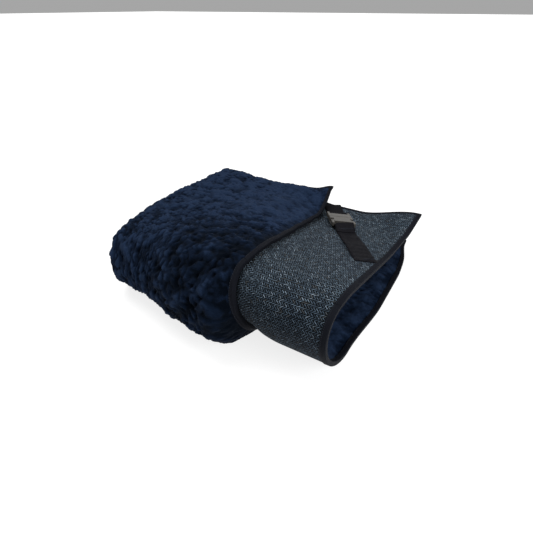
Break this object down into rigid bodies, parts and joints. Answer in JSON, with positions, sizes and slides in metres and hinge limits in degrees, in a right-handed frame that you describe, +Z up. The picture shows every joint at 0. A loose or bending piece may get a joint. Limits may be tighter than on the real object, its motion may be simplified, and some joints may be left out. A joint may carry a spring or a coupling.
{
  "type": "infrared sauna blanket",
  "caption": "Heated far-infrared blanket, sherpa pile on one face and herringbone cloth on the other, folded in two with a turned-back cuff and a buckled strap.",
  "frame": {"origin": "on the floor, under the middle of the folded blanket's bounding box", "axes": "+X along the front fold towards the open mouth, +Y towards the open back edges, +Z up"},
  "size_m": [0.496, 0.4899, 0.153],
  "materials": {
    "woven_cloth": "chunky herringbone weave of blue-grey and near-black yarns",
    "sherpa_pile": "curly navy sherpa pile",
    "wadding": "white needled wadding",
    "heating_film": "carbon-fibre heating film",
    "binding_tape": "matt near-black woven tape, folded over the edge and stitched",
    "webbing": "ribbed black webbing",
    "thread": "black sewing thread",
    "buckle_plastic": "satin dark grey moulded acetal",
    "fitting_plastic": "black moulded plastic",
    "lead": "flat insulated lead"
  },
  "bodies": {
    "lower_half": {"lower_face_cloth": "woven_cloth", "fold_face_cloth": "woven_cloth", "lower_pile_lining": "sherpa_pile", "fold_pile_lining": "sherpa_pile", "lower_wadding": "wadding", "fold_wadding": "wadding", "lower_heating_film": "heating_film", "cuff_lower_heating_film": "heating_film", "lower_back_binding": "binding_tape", "lower_mouth_binding": "binding_tape", "cuff_lower_edge_binding": "binding_tape", "fold_mouth_binding": "binding_tape", "fold_cuff_edge_binding": "binding_tape", "fold_lead": "lead", "inlet_socket": "fitting_plastic", "thermal_cutout": "fitting_plastic", "temperature_sensor": "fitting_plastic", "inlet_lead": "lead"},
    "upper_half": {"upper_face_cloth": "woven_cloth", "upper_pile_lining": "sherpa_pile", "upper_wadding": "wadding", "upper_heating_film": "heating_film", "cuff_upper_heating_film": "heating_film", "upper_back_binding": "binding_tape", "upper_mouth_binding": "binding_tape", "cuff_upper_edge_binding": "binding_tape", "short_strap": "webbing", "long_strap": "webbing", "short_strap_bartack": "thread", "long_strap_bartacks": "thread", "buckle_latch_frame": "buckle_plastic"},
    "socket": {"buckle_socket": "buckle_plastic"},
    "prong_left": {"buckle_prong_left": "buckle_plastic"},
    "prong_right": {"buckle_prong_right": "buckle_plastic"}
  },
  "joints": [
    {"name": "fold_open", "type": "hinge", "parent": "lower_half", "child": "upper_half", "pos_m": [0, -0.23, 0.052], "axis": [1, 0, 0], "range_deg": [0, 65], "deforming": ["fold_face_cloth", "fold_wadding", "fold_pile_lining", "fold_lead", "fold_mouth_binding", "fold_cuff_edge_binding"]},
    {"name": "buckle_slide", "type": "slide", "parent": "upper_half", "child": "socket", "axis": [0.5198, -0.8374, 0.1689], "range_m": [0, 0.028], "deforming": ["long_strap", "long_strap_bartacks", "buckle_prong_left", "buckle_prong_right"]},
    {"name": "prong_left_squeeze", "type": "hinge", "parent": "upper_half", "child": "prong_left", "pos_m": [0.11935, 0.16672, 0.0613], "axis": [0, -0.1977, -0.9803], "range_deg": [0, 8], "stiffness_Nm_per_rad": 0.4},
    {"name": "prong_right_squeeze", "type": "hinge", "parent": "upper_half", "child": "prong_right", "pos_m": [0.09286, 0.15092, 0.06449], "axis": [0, 0.1977, 0.9803], "range_deg": [0, 8], "stiffness_Nm_per_rad": 0.4}
  ],
  "couplings": [
    {"joint": "prong_right_squeeze", "follows": "prong_left_squeeze", "ratio": 1}
  ]
}
